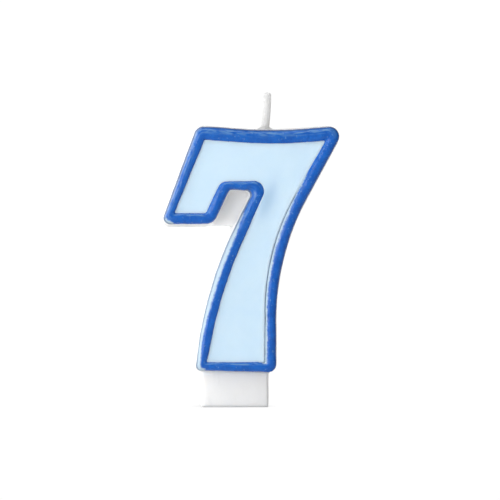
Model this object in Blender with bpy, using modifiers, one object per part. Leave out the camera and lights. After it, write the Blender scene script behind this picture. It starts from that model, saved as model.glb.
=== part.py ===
"""Number candle in the shape of a 7: a cast wax numeral on a push-in foot, with a poured
panel, a raised coloured outline and a waxed, plaited wick.

Metres, +Z up. The numeral faces -Y and reads from left (-X) to right (+X). The origin is
the middle of the foot's flat underside.
"""

import math

import bmesh
import bpy
from mathutils import Matrix, Vector

MM = 0.001

# Foot that is pushed into the cake
FOOT_WIDTH = 17.0 * MM
FOOT_DEPTH = 9.6 * MM
FOOT_HEIGHT = 11.5 * MM
FOOT_EDGE = 0.6 * MM

# Depths of the layers along Y, measured from the middle of the foot
BACK_Y = 5.3 * MM
CAST_FRONT_Y = -4.7 * MM
RIM_FRONT_Y = -5.8 * MM
PANEL_FRONT_Y = -5.95 * MM
CREST_Y = -6.7 * MM
WEB_FRONT_Y = -0.7 * MM
LAYER_GAP = 0.12 * MM

# The cast wall grows towards the back, so that it leaves its mould
DRAFT = 0.6 * MM
BACK_EDGE = 0.8 * MM
BACK_EDGE_STEPS = 3

# Corners as x, z, corner radius in millimetres, clockwise from the top left.
# The very large radii are the gentle bends of the stem.
OUTER_CORNERS = (
    (-9.55, 70.38, 2.5),    # top left
    (28.05, 70.56, 2.6),   # top right
    (10.34, 38.10, 65.0),   # bend of the right side
    (10.44, 8.70, 2.0),     # bottom right
    (-9.90, 9.18, 1.2),     # bottom left
    (-7.18, 30.70, 98.0),  # bend of the left side
    (4.45, 54.15, 1.1),     # notch, right
    (-1.25, 54.50, 1.1),    # notch, left
    (-5.33, 45.94, 3.0),    # heel of the arm
    (-18.60, 45.80, 1.7),   # toe of the arm
)
INNER_CORNERS = (
    (-7.60, 67.02, 0.3),
    (22.75, 67.02, 0.3),
    (7.52, 39.65, 59.0),
    (7.35, 11.30, 0.3),
    (-7.13, 11.30, 0.3),
    (-3.05, 30.70, 118.0),
    (8.75, 56.72, 2.65),
    (-3.48, 56.50, 2.2),
    (-7.28, 48.60, 0.9),
    (-15.25, 48.52, 0.3),
)
CORNER_STEPS = 5
BEND_STEPS = 10
BEND_RADIUS = 10.0
SIDE_STEP = 5.0 * MM

# The top bar has sunk a little in the middle
SAG = 0.95 * MM
SAG_MIDDLE_X = 9.1 * MM
SAG_HALF_WIDTH = 18.6 * MM
SAG_FROM_Z = 60.0 * MM
SAG_FULL_Z = 66.0 * MM

# White web that closes the back of the notch between the arm and the stem
WEB_CORNERS = ((-6.2, 45.5), (-0.4, 45.5), (6.2, 56.3), (-2.6, 56.3), (-7.4, 47.5))

# Raised rim of the casting under the coloured outline, as shares of the outline's width
RIM_OUTSIDE = 0.28
RIM_INSIDE = 0.72
GROOVE_OUTSIDE = 0.22
GROOVE_INSIDE = 0.78
RIM_ROOT_DEPTH = 0.8 * MM

# Cross-section of the bead: share of its width and depth below the crest, from a flank to the top
BEAD_SIDE_HEIGHT = 0.8 * MM
BEAD_SHOULDER = (0.07, 0.45 * MM)
BEAD_EASE = (0.19, 0.12 * MM)
BEAD_CREST_SHARE = 0.38

# Wick: bore, wax coat and three plaited strands
WICK_X = 7.8 * MM
WICK_Y = 0.1 * MM
WICK_BOTTOM_Z = 16.0 * MM
WICK_EXIT_Z = 69.5 * MM
WICK_TIP_Z = 78.9 * MM
WICK_LEAN = 0.6 * MM
BORE_RADIUS = 1.25 * MM
COAT_RADIUS = 1.02 * MM
COAT_INNER_RADIUS = 0.72 * MM
STRAND_RADIUS = 0.18 * MM
PLAIT_WIDTH = 0.44 * MM
PLAIT_THICKNESS = 0.29 * MM
PLAIT_PITCH = 10.0 * MM
STRAND_POINTS = 84
TIP_GAP = 0.5 * MM
TIP_WALL = 0.25 * MM
TIP_ANGLE = math.radians(80.0)
STRAIGHT_LENGTH = 6.0 * MM
LEAN_STEPS = 4
HOLLOW_OVERSHOOT = 1.0 * MM
BORE_RELIEF = 0.3 * MM

# Wax drop that seals the wick into its bore
SEAL_RADIUS = 2.4 * MM
SEAL_HEIGHT = 0.65 * MM
SEAL_HOLE_RADIUS = 1.14 * MM
SEAL_LIP = 0.25 * MM
SEAL_GAP = 0.1 * MM
SEAL_STEPS = 28


# ---------------------------------------------------------------- scene and materials

def clear_scene():
    """Remove every object that is in the file."""
    for obj in list(bpy.data.objects):
        bpy.data.objects.remove(obj, do_unlink=True)


def new_collection(name):
    """Make a collection in the scene."""
    collection = bpy.data.collections.new(name)
    bpy.context.scene.collection.children.link(collection)
    return collection


def new_material(name, colour, roughness, subsurface=0.0):
    """A plain wax or cotton material."""
    material = bpy.data.materials.new(name)
    material.use_nodes = True
    shader = material.node_tree.nodes["Principled BSDF"]
    shader.inputs["Base Color"].default_value = (*colour, 1.0)
    shader.inputs["Roughness"].default_value = roughness
    shader.inputs["Metallic"].default_value = 0.0
    shader.inputs["Subsurface Weight"].default_value = subsurface
    shader.inputs["Subsurface Scale"].default_value = 2.0 * MM
    return material


def add_object(bm, name, collection, material=None):
    """Turn a bmesh into a named object with outward faces."""
    bmesh.ops.recalc_face_normals(bm, faces=bm.faces)
    mesh = bpy.data.meshes.new(name)
    bm.to_mesh(mesh)
    bm.free()
    if material is not None:
        mesh.materials.append(material)
    obj = bpy.data.objects.new(name, mesh)
    collection.objects.link(obj)
    return obj


def shade_round(obj):
    """Smooth shading that keeps real edges sharp."""
    obj.data.shade_smooth()
    obj.data.set_sharp_from_angle(angle=math.radians(35.0))


def as_cutter(obj):
    """Show an object as a wire guide only."""
    obj.hide_render = True
    obj.display_type = "WIRE"


def add_boolean(obj, other, operation):
    """Join or cut with the exact solver."""
    modifier = obj.modifiers.new(f"{operation.lower()}_{other.name}", "BOOLEAN")
    modifier.operation = operation
    modifier.solver = "EXACT"
    modifier.object = other


# ---------------------------------------------------------------- outlines

def sagged(point):
    """Lower the upper edge of the top bar towards its middle."""
    across = (point.x - SAG_MIDDLE_X) / SAG_HALF_WIDTH
    across = max(-1.0, min(1.0, across))
    height = (point.y - SAG_FROM_Z) / (SAG_FULL_Z - SAG_FROM_Z)
    height = max(0.0, min(1.0, height))
    ease = height * height * (3.0 - 2.0 * height)
    return Vector((point.x, point.y - SAG * ease * (1.0 - across * across) ** 2))


def side_frames(corners):
    """Start, direction, outward normal and length of each side."""
    points = [Vector((x * MM, z * MM)) for x, z, _ in corners]
    frames = []
    for start, end in zip(points, points[1:] + points[:1]):
        direction = (end - start).normalized()
        normal = Vector((-direction.y, direction.x))
        frames.append((start, direction, normal, (end - start).length))
    return frames


def meeting_point(side, other, grow):
    """Where two neighbouring sides meet once both have moved outwards by grow."""
    start = side[0] + side[2] * grow
    goal = other[0] + other[2] * grow
    turn = side[1].cross(other[1])
    along = (goal - start).cross(other[1]) / turn
    return start + side[1] * along


def rounded_outline(corners, grow=0.0):
    """Points of the closed outline, with an arc at each corner and every side moved out by
    grow. The number of points doesn't depend on grow, so that outlines can be lofted."""
    sides = side_frames(corners)
    arcs = []
    for index, (_, _, radius) in enumerate(corners):
        before = sides[index - 1]
        after = sides[index]
        corner = meeting_point(before, after, grow)
        turn = before[1].angle_signed(after[1])
        rounding = radius * MM + math.copysign(grow, turn)
        reach = rounding * math.tan(abs(turn) / 2.0)
        start = corner - before[1] * reach
        inward = before[2] * -math.copysign(rounding, turn)
        centre = start + inward
        steps = BEND_STEPS if radius > BEND_RADIUS else CORNER_STEPS
        arc = []
        for step in range(steps + 1):
            angle = -turn * step / steps
            spoke = Matrix.Rotation(angle, 2) @ -inward
            arc.append(centre + spoke)
        arcs.append(arc)
    points = []
    for index, arc in enumerate(arcs):
        points.extend(arc)
        following = arcs[(index + 1) % len(arcs)][0]
        pieces = max(1, round(sides[index][3] / SIDE_STEP))
        for piece in range(1, pieces):
            points.append(arc[-1].lerp(following, piece / pieces))
    return [sagged(point) for point in points]


def ring_between(share, outer, inner):
    """Outline that lies between the outer (0) and the inner (1) edge of the numeral's line."""
    return [a.lerp(b, share) for a, b in zip(outer, inner)]


# ---------------------------------------------------------------- lofts

def add_ring(bm, outline, y):
    """Vertices of one outline at one depth."""
    return [bm.verts.new((point.x, y, point.y)) for point in outline]


def bridge(bm, ring, following):
    """Quads between two rings with the same number of vertices."""
    count = len(ring)
    for index in range(count):
        after = (index + 1) % count
        bm.faces.new((ring[index], ring[after], following[after], following[index]))


def loft_solid(levels):
    """Solid through outlines at increasing depth, closed at both ends."""
    bm = bmesh.new()
    rings = [add_ring(bm, outline, y) for outline, y in levels]
    for ring, following in zip(rings, rings[1:]):
        bridge(bm, ring, following)
    bm.faces.new(rings[0])
    bm.faces.new(rings[-1])
    return bm


def loft_frame(profile, outer, inner):
    """Closed frame: each profile point is a share of the line's width and a depth."""
    bm = bmesh.new()
    rings = [add_ring(bm, ring_between(share, outer, inner), y) for share, y in profile]
    for ring, following in zip(rings, rings[1:] + rings[:1]):
        bridge(bm, ring, following)
    return bm


def prism(corners, front_y, back_y):
    """Flat-sided solid with the given x, z corners in millimetres."""
    outline = [Vector((x * MM, z * MM)) for x, z in corners]
    return loft_solid([(outline, front_y), (outline, back_y)])


# ---------------------------------------------------------------- tubes

def wick_path(height):
    """Middle of the wick at a height: straight in the bore, then leaning to the right."""
    above = max(0.0, height - WICK_EXIT_Z) / (WICK_TIP_Z - WICK_EXIT_Z)
    lean = WICK_LEAN * above * (2.0 - above)
    return Vector((WICK_X + lean, WICK_Y, height))


def tube_object(name, points, radii, bevel_resolution, collection, material=None):
    """Tube along points as a closed mesh, made from a curve with filled caps."""
    curve = bpy.data.curves.new(name, "CURVE")
    curve.dimensions = "3D"
    curve.bevel_depth = 1.0
    curve.bevel_resolution = bevel_resolution
    curve.use_fill_caps = True
    spline = curve.splines.new("POLY")
    spline.points.add(len(points) - 1)
    for spline_point, point, radius in zip(spline.points, points, radii):
        spline_point.co = (*point, 1.0)
        spline_point.radius = radius
    guide = bpy.data.objects.new(f"{name}_curve", curve)
    collection.objects.link(guide)
    bpy.context.view_layer.update()
    evaluated = guide.evaluated_get(bpy.context.evaluated_depsgraph_get())
    mesh = bpy.data.meshes.new_from_object(evaluated)
    bm = bmesh.new()
    bm.from_mesh(mesh)
    bmesh.ops.remove_doubles(bm, verts=bm.verts, dist=0.001 * MM)
    bpy.data.objects.remove(guide, do_unlink=True)
    bpy.data.meshes.remove(mesh)
    return add_object(bm, name, collection, material)


def rounded_tip_path(bottom, top, radius, steps=5):
    """Heights and radii of a rod whose upper end is a half ball."""
    heights = [bottom, WICK_EXIT_Z - STRAIGHT_LENGTH, WICK_EXIT_Z]
    shoulder = top - radius
    for step in range(1, LEAN_STEPS + 1):
        heights.append(WICK_EXIT_Z + (shoulder - WICK_EXIT_Z) * step / LEAN_STEPS)
    radii = [radius] * len(heights)
    for step in range(1, steps + 1):
        angle = TIP_ANGLE * step / steps
        heights.append(shoulder + radius * math.sin(angle))
        radii.append(radius * math.cos(angle))
    return heights, radii


# ---------------------------------------------------------------- sub-parts

def make_wax_body(parts, cutters, material):
    """White casting: drafted numeral with a raised rim, notch web, foot and wick bore."""
    levels = [(rounded_outline(OUTER_CORNERS), CAST_FRONT_Y)]
    for step in range(BACK_EDGE_STEPS + 1):
        angle = math.radians(90.0) * step / BACK_EDGE_STEPS
        grow = DRAFT - BACK_EDGE * (1.0 - math.cos(angle))
        depth = BACK_Y - BACK_EDGE * (1.0 - math.sin(angle))
        levels.append((rounded_outline(OUTER_CORNERS, grow), depth))
    body = add_object(loft_solid(levels), "wax_body", parts, material)

    outer = rounded_outline(OUTER_CORNERS)
    inner = rounded_outline(INNER_CORNERS)
    root_y = CAST_FRONT_Y + RIM_ROOT_DEPTH
    rim_profile = (
        (RIM_OUTSIDE, root_y),
        (RIM_OUTSIDE, RIM_FRONT_Y),
        (RIM_INSIDE, RIM_FRONT_Y),
        (RIM_INSIDE, root_y),
    )
    rim = add_object(loft_frame(rim_profile, outer, inner), "rim", cutters)
    web = add_object(prism(WEB_CORNERS, WEB_FRONT_Y, BACK_Y), "web", cutters)

    bm = bmesh.new()
    bmesh.ops.create_cube(bm, size=1.0)
    bmesh.ops.scale(bm, vec=(FOOT_WIDTH, FOOT_DEPTH, FOOT_HEIGHT), verts=bm.verts)
    bmesh.ops.translate(bm, vec=(0.0, 0.0, FOOT_HEIGHT / 2.0), verts=bm.verts)
    foot = add_object(bm, "foot", cutters)
    rounding = foot.modifiers.new("edges", "BEVEL")
    rounding.width = FOOT_EDGE
    rounding.segments = 3

    bore_length = WICK_TIP_Z - WICK_BOTTOM_Z
    bm = bmesh.new()
    bmesh.ops.create_cone(
        bm, cap_ends=True, segments=20, radius1=BORE_RADIUS, radius2=BORE_RADIUS, depth=bore_length
    )
    middle = (WICK_X, WICK_Y, WICK_BOTTOM_Z - BORE_RELIEF + bore_length / 2.0)
    bmesh.ops.translate(bm, vec=middle, verts=bm.verts)
    bore = add_object(bm, "bore", cutters)

    for other in (rim, web, foot, bore):
        as_cutter(other)
    for other in (rim, web, foot):
        add_boolean(body, other, "UNION")
    add_boolean(body, bore, "DIFFERENCE")
    shade_round(body)


def make_outline_bead(parts, material):
    """Coloured wax line: a rounded ridge that sits over the rim of the casting."""
    root_y = CAST_FRONT_Y - LAYER_GAP
    groove_y = RIM_FRONT_Y - LAYER_GAP
    profile = (
        (0.0, root_y),
        (0.0, root_y - BEAD_SIDE_HEIGHT),
        (BEAD_SHOULDER[0], CREST_Y + BEAD_SHOULDER[1]),
        (BEAD_EASE[0], CREST_Y + BEAD_EASE[1]),
        (BEAD_CREST_SHARE, CREST_Y),
        (1.0 - BEAD_CREST_SHARE, CREST_Y),
        (1.0 - BEAD_EASE[0], CREST_Y + BEAD_EASE[1]),
        (1.0 - BEAD_SHOULDER[0], CREST_Y + BEAD_SHOULDER[1]),
        (1.0, root_y - BEAD_SIDE_HEIGHT),
        (1.0, root_y),
        (GROOVE_INSIDE, root_y),
        (GROOVE_INSIDE, groove_y),
        (GROOVE_OUTSIDE, groove_y),
        (GROOVE_OUTSIDE, root_y),
    )
    outer = rounded_outline(OUTER_CORNERS)
    inner = rounded_outline(INNER_CORNERS)
    bead = add_object(loft_frame(profile, outer, inner), "outline_bead", parts, material)
    shade_round(bead)


def make_face_panel(parts, material):
    """Pale blue wax layer that fills the field inside the outline."""
    outline = rounded_outline(INNER_CORNERS, -LAYER_GAP)
    levels = [(outline, PANEL_FRONT_Y), (outline, CAST_FRONT_Y - LAYER_GAP)]
    shade_round(add_object(loft_solid(levels), "face_panel", parts, material))


def make_wick_coating(parts, cutters, material):
    """Wax coat of the wick: a tube with a rounded tip, open at its lower end."""
    heights, radii = rounded_tip_path(WICK_BOTTOM_Z, WICK_TIP_Z, COAT_RADIUS)
    points = [wick_path(height) for height in heights]
    coat = tube_object("wick_coating", points, radii, 4, parts, material)
    hollow_bottom = WICK_BOTTOM_Z - HOLLOW_OVERSHOOT
    hollow_top = WICK_TIP_Z - TIP_WALL
    heights, radii = rounded_tip_path(hollow_bottom, hollow_top, COAT_INNER_RADIUS)
    points = [wick_path(height) for height in heights]
    hollow = tube_object("wick_hollow", points, radii, 4, cutters)
    as_cutter(hollow)
    add_boolean(coat, hollow, "DIFFERENCE")
    shade_round(coat)


def make_wick_strands(parts, material):
    """Three cotton strands in a flat plait."""
    bottom = WICK_BOTTOM_Z + TIP_GAP
    top = WICK_TIP_Z - COAT_INNER_RADIUS - TIP_GAP
    for number in range(3):
        phase = math.radians(120.0) * number
        points = []
        for index in range(STRAND_POINTS):
            height = bottom + (top - bottom) * index / (STRAND_POINTS - 1)
            turn = math.tau * (height - bottom) / PLAIT_PITCH + phase
            sideways = PLAIT_WIDTH * math.sin(turn)
            forwards = PLAIT_THICKNESS * math.sin(2.0 * turn)
            points.append(wick_path(height) + Vector((sideways, forwards, 0.0)))
        radii = [STRAND_RADIUS] * len(points)
        strand = tube_object(f"wick_strand_{number + 1}", points, radii, 2, parts, material)
        shade_round(strand)


def make_wick_seal(parts, material):
    """Drop of wax round the wick where it leaves the bore."""
    profile = (
        (SEAL_HOLE_RADIUS, SEAL_HEIGHT),
        (SEAL_HOLE_RADIUS + SEAL_LIP, SEAL_HEIGHT * 0.75),
        (SEAL_RADIUS * 0.75, SEAL_HEIGHT * 0.35),
        (SEAL_RADIUS, SEAL_HEIGHT * 0.15),
        (SEAL_RADIUS, 0.0),
        (SEAL_HOLE_RADIUS, 0.0),
    )
    bm = bmesh.new()
    ring = [bm.verts.new((radius, 0.0, height)) for radius, height in profile]
    for vert, following in zip(ring, ring[1:] + ring[:1]):
        bm.edges.new((vert, following))
    mesh = bpy.data.meshes.new("wick_seal")
    bm.to_mesh(mesh)
    bm.free()
    mesh.materials.append(material)
    seal = bpy.data.objects.new("wick_seal", mesh)
    parts.objects.link(seal)
    spin = seal.modifiers.new("turned", "SCREW")
    spin.steps = SEAL_STEPS
    spin.render_steps = SEAL_STEPS
    spin.use_merge_vertices = True
    spin.merge_threshold = 0.00001
    spin.use_normal_calculate = True
    left, right = OUTER_CORNERS[:2]
    across = (WICK_X / MM - left[0]) / (right[0] - left[0])
    straight_top = left[1] + (right[1] - left[1]) * across
    top = sagged(Vector((WICK_X, straight_top * MM))).y
    slope = DRAFT / (BACK_Y - CAST_FRONT_Y)
    rise = slope * (WICK_Y - CAST_FRONT_Y)
    seal.location = (WICK_X, WICK_Y, top + rise + SEAL_GAP)
    seal.rotation_euler = (math.atan(slope), 0.0, 0.0)


def main():
    clear_scene()
    parts = new_collection("number_candle")
    cutters = new_collection("cutters")
    white_wax = new_material("white_wax", (0.90, 0.90, 0.89), 0.35, 0.3)
    pale_wax = new_material("pale_blue_wax", (0.60, 0.81, 0.98), 0.32, 0.2)
    blue_wax = new_material("blue_wax", (0.015, 0.11, 0.46), 0.2)
    cotton = new_material("cotton", (0.86, 0.85, 0.81), 0.9)
    coat_wax = new_material("wick_wax", (0.88, 0.88, 0.86), 0.4, 0.3)

    make_wax_body(parts, cutters, white_wax)
    make_face_panel(parts, pale_wax)
    make_outline_bead(parts, blue_wax)
    make_wick_strands(parts, cotton)
    make_wick_coating(parts, cutters, coat_wax)
    make_wick_seal(parts, coat_wax)


main()
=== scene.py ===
"""Looks of the number candle: cast white wax, poured pale blue panel, glossy blue outline
and a waxed, plaited wick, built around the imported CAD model. Metres, +Z up, front at -Y."""

import math
from types import SimpleNamespace

import bmesh
import bpy
import numpy as np
from mathutils import Matrix, Vector, geometry, noise


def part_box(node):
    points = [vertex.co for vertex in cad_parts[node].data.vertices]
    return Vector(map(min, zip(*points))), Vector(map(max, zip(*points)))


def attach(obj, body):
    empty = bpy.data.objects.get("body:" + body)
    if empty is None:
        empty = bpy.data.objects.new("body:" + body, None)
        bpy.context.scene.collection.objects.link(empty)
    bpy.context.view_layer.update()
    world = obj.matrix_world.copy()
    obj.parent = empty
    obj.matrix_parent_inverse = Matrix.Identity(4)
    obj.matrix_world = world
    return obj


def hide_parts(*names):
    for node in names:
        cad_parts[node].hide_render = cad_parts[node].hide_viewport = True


MM = 0.001

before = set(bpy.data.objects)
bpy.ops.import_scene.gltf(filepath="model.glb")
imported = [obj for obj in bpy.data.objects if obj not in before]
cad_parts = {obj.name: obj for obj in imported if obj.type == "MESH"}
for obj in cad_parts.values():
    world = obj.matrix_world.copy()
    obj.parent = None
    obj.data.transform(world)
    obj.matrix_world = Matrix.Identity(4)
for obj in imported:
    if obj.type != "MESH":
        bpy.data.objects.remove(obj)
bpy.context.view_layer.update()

# ---------------------------------------------------------------- sizes from the frame

BEAD_LOW, BEAD_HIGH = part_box("outline_bead")
PANEL_LOW, PANEL_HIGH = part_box("face_panel")
COAT_LOW, COAT_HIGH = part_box("wick_coating")
SEAL_LOW, SEAL_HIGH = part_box("wick_seal")

BEAD_ROOT_Y = BEAD_HIGH[1]
CREST_Y = BEAD_LOW[1]
PANEL_FRONT_Y = PANEL_LOW[1]
PANEL_BACK_Y = PANEL_HIGH[1]

# Corners of the numeral as x, z, corner radius in millimetres, clockwise from the top left,
# the same as in the CAD model: the outline's outer edge, then its inner edge
OUTER_CORNERS = (
    (-9.55, 70.38, 2.5),
    (28.05, 70.56, 2.6),
    (10.34, 38.10, 65.0),
    (10.44, 8.70, 2.0),
    (-9.90, 9.18, 1.2),
    (-7.18, 30.70, 98.0),
    (4.45, 54.15, 1.1),
    (-1.25, 54.50, 1.1),
    (-5.33, 45.94, 3.0),
    (-18.60, 45.80, 1.7),
)
INNER_CORNERS = (
    (-7.60, 67.02, 0.3),
    (22.75, 67.02, 0.3),
    (7.52, 39.65, 59.0),
    (7.35, 11.30, 0.3),
    (-7.13, 11.30, 0.3),
    (-3.05, 30.70, 118.0),
    (8.75, 56.72, 2.65),
    (-3.48, 56.50, 2.2),
    (-7.28, 48.60, 0.9),
    (-15.25, 48.52, 0.3),
)
OUTLINE_PITCH = 0.22 * MM
LEAST_ARC_STEPS = 5
LEAST_ROUNDING = 0.03 * MM
CLOSE_POINTS = 0.01 * MM

# Dip of the upper edge of the top bar, the same as in the CAD model
SAG = 0.95 * MM
SAG_MIDDLE_X = 9.1 * MM
SAG_HALF_WIDTH = 18.6 * MM
SAG_FROM_Z = 60.0 * MM
SAG_FULL_Z = 66.0 * MM


# ---------------------------------------------------------------- outlines

def sagged(x, z):
    """Lower the upper edge of the top bar towards its middle."""
    across = np.clip((x - SAG_MIDDLE_X) / SAG_HALF_WIDTH, -1.0, 1.0)
    height = np.clip((z - SAG_FROM_Z) / (SAG_FULL_Z - SAG_FROM_Z), 0.0, 1.0)
    ease = height * height * (3.0 - 2.0 * height)
    return z - SAG * ease * (1.0 - across * across) ** 2


def side_frames(corners):
    """Start, direction, outward normal and length of each side."""
    points = [Vector((x * MM, z * MM)) for x, z, _ in corners]
    frames = []
    for start, end in zip(points, points[1:] + points[:1]):
        direction = (end - start).normalized()
        normal = Vector((-direction.y, direction.x))
        frames.append((start, direction, normal, (end - start).length))
    return frames


def outline_counts(*corner_sets):
    """Steps of each arc and each side, fine enough for all the outlines that are lofted."""
    counts = []
    for index in range(len(corner_sets[0])):
        arc = 0.0
        side = 0.0
        for corners in corner_sets:
            sides = side_frames(corners)
            turn = abs(sides[index - 1][1].angle_signed(sides[index][1]))
            arc = max(arc, turn * corners[index][2] * MM)
            side = max(side, sides[index][3])
        arc_steps = max(LEAST_ARC_STEPS, round(arc / OUTLINE_PITCH))
        counts.append((arc_steps, max(1, round(side / OUTLINE_PITCH))))
    return counts


COUNTS = outline_counts(OUTER_CORNERS, INNER_CORNERS)


def rounded_outline(corners, grow=0.0):
    """Points of the closed outline as x, z rows, every side moved out by grow."""
    sides = side_frames(corners)
    arcs = []
    for index, (_, _, radius) in enumerate(corners):
        before = sides[index - 1]
        after = sides[index]
        turn = before[1].angle_signed(after[1])
        start = before[0] + before[2] * grow
        goal = after[0] + after[2] * grow
        along = (goal - start).cross(after[1]) / before[1].cross(after[1])
        corner = start + before[1] * along
        rounding = max(radius * MM + math.copysign(grow, turn), LEAST_ROUNDING)
        start = corner - before[1] * rounding * math.tan(abs(turn) / 2.0)
        inward = before[2] * -math.copysign(rounding, turn)
        steps = COUNTS[index][0]
        arc = []
        for step in range(steps + 1):
            spoke = Matrix.Rotation(-turn * step / steps, 2) @ -inward
            arc.append(start + inward + spoke)
        arcs.append(arc)
    points = []
    for index, arc in enumerate(arcs):
        points.extend(arc)
        following = arcs[(index + 1) % len(arcs)][0]
        gap = (following - arc[-1]).length
        pieces = COUNTS[index][1]
        if gap < CLOSE_POINTS:
            continue
        for piece in range(1, pieces):
            points.append(arc[-1].lerp(following, piece / pieces))
    rows = np.array([(point.x, point.y) for point in points])
    rows[:, 1] = sagged(rows[:, 0], rows[:, 1])
    return rows


SEED_STEP = Vector((17.3, 5.1, 9.7))
FRACTAL_FALLOFF = 0.8
FRACTAL_STEP = 2.0


def field(points, size, seed, octaves=2):
    """Smooth noise in about -1 to 1 at each x, y, z row; size is its wavelength."""
    offset = SEED_STEP * seed
    values = [
        noise.fractal(Vector(point) / size + offset, FRACTAL_FALLOFF, FRACTAL_STEP, octaves)
        for point in points
    ]
    return np.array(values)


def waves(points, *terms):
    """Sum of noise fields, each given as its height, wavelength, seed and maybe octaves."""
    return sum(field(points, *term) * height for height, *term in terms)


# ---------------------------------------------------------------- meshes

def new_object(name, vertices, faces, slot, *replaced):
    """A smooth mesh piece that rides on the candle and stands for the named CAD nodes."""
    mesh = bpy.data.meshes.new(name)
    mesh.from_pydata([tuple(v) for v in vertices], [], faces)
    bm = bmesh.new()
    bm.from_mesh(mesh)
    bmesh.ops.recalc_face_normals(bm, faces=bm.faces)
    bm.to_mesh(mesh)
    bm.free()
    mesh.shade_smooth()
    obj = bpy.data.objects.new(name, mesh)
    bpy.context.scene.collection.objects.link(obj)
    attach(obj, "root")
    if replaced:
        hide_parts(*replaced)
    return obj


def quads_between(first, second, count):
    """Quads that join two rings, given by the index of each one's first vertex."""
    faces = []
    for index in range(count):
        after = (index + 1) % count
        faces.append((first + index, first + after, second + after, second + index))
    return faces


def read_points(obj):
    """Vertex places as rows."""
    rows = np.empty(len(obj.data.vertices) * 3)
    obj.data.vertices.foreach_get("co", rows)
    return rows.reshape(-1, 3)


def read_normals(obj):
    """Vertex normals as rows."""
    rows = np.empty(len(obj.data.vertices) * 3)
    obj.data.vertices.foreach_get("normal", rows)
    return rows.reshape(-1, 3)


def write_points(obj, rows):
    """Put the vertices at the given places."""
    obj.data.vertices.foreach_set("co", rows.ravel())
    obj.data.update()


def store(obj, name, values):
    """Keep one number for each vertex, for the material."""
    attribute = obj.data.attributes.new(name, "FLOAT", "POINT")
    attribute.data.foreach_set("value", np.asarray(values, dtype=np.float32))


def push(obj, amounts):
    """Move each vertex along its normal."""
    write_points(obj, read_points(obj) + read_normals(obj) * np.asarray(amounts)[:, None])


# ---------------------------------------------------------------- materials

def new_material(name):
    """An empty node material with its shader."""
    material = bpy.data.materials.new(name)
    material.use_nodes = True
    return material, material.node_tree, material.node_tree.nodes["Principled BSDF"]


def add_node(tree, kind, inputs=(), **settings):
    """A node with settings, and with numbers or links on its inputs."""
    node = tree.nodes.new(kind)
    for key, value in settings.items():
        setattr(node, key, value)
    for key, value in dict(inputs).items():
        if isinstance(value, bpy.types.NodeSocket):
            tree.links.new(value, node.inputs[key])
        else:
            node.inputs[key].default_value = value
    return node


def object_coordinates(tree, stretch=(1.0, 1.0, 1.0)):
    """Places in metres, squeezed along each axis."""
    place = add_node(tree, "ShaderNodeTexCoord").outputs["Object"]
    mapping = add_node(tree, "ShaderNodeMapping", {"Vector": place, "Scale": stretch})
    return mapping.outputs["Vector"]


def noise_value(tree, place, size, detail=3.0, roughness=0.55, distortion=0.0):
    """Noise whose features are about size metres wide."""
    inputs = {
        "Vector": place,
        "Scale": 1.0 / size,
        "Detail": detail,
        "Roughness": roughness,
        "Distortion": distortion,
    }
    return add_node(tree, "ShaderNodeTexNoise", inputs).outputs["Fac"]


def spread(tree, value, low, high, to_low=0.0, to_high=1.0):
    """Map a range of values onto another one."""
    inputs = {
        "Value": value,
        "From Min": low,
        "From Max": high,
        "To Min": to_low,
        "To Max": to_high,
    }
    return add_node(tree, "ShaderNodeMapRange", inputs).outputs["Result"]


def mix_colour(tree, factor, first, second):
    """Blend of two colours."""
    node = add_node(tree, "ShaderNodeMix", data_type="RGBA")
    for key, value in (("Factor", factor), ("A", first), ("B", second)):
        kind = "VALUE" if key == "Factor" else "RGBA"
        socket = next(s for s in node.inputs if s.name == key and s.type == kind)
        if isinstance(value, bpy.types.NodeSocket):
            tree.links.new(value, socket)
        elif key == "Factor":
            socket.default_value = value
        else:
            socket.default_value = (*value, 1.0)
    return next(s for s in node.outputs if s.type == "RGBA")


def bump_on(tree, height, distance, strength, before=None):
    """Surface relief of the given depth in metres."""
    inputs = {"Height": height, "Distance": distance, "Strength": strength}
    if before is not None:
        inputs["Normal"] = before
    return add_node(tree, "ShaderNodeBump", inputs).outputs["Normal"]


def attribute_value(tree, name):
    """Number kept on the mesh."""
    node = add_node(tree, "ShaderNodeAttribute", attribute_name=name)
    return node.outputs["Fac"]


WHITE_WAX = ((0.85, 0.85, 0.845), (0.88, 0.88, 0.878))
WHITE_SMEAR = (0.79, 0.79, 0.785)
# Painted light: lighter, bluish white for the web in the notch
WEB_PAINTED_LIGHT = (0.975, 0.985, 1.0)
# Painted shade: grey for the foot, most towards the right
FOOT_SHADE_GREY = (0.765, 0.762, 0.756)
# Painted shade: lilac-grey for the line at the outline's root
ROOT_SHADE_LILAC = (0.40, 0.43, 0.60)
WAX_IOR = 1.44


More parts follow.
